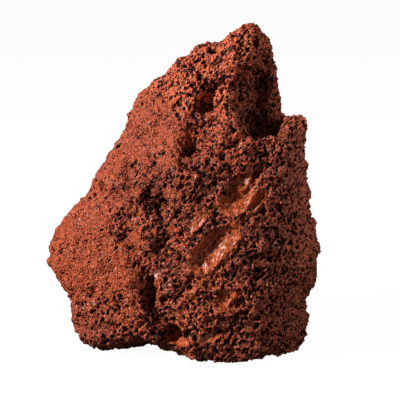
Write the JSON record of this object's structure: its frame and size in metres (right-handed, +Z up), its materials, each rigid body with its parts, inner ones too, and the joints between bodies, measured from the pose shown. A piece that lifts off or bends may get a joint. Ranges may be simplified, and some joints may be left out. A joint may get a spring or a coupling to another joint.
{
  "type": "lava rock",
  "caption": "Upright lump of red-brown porous scoria with a smooth leaning slab on one side, glossy gouges in the broken face, and a flat foot to stand on.",
  "frame": {"origin": "middle of the bounding box on the ground plane, under the rock", "axes": "+Z up from the flat foot to the peak; -Y is the front, where the porous broken face looks; +X is to the right of that face, and the smooth slab leans towards -X"},
  "size_m": [0.1274, 0.0864, 0.15],
  "materials": {
    "red_scoria": "rough, porous, matte terracotta-brown volcanic stone; smooth glossy patches inside the gouges"
  },
  "bodies": {
    "root": {"lava_rock": "red_scoria"}
  },
  "joints": []
}
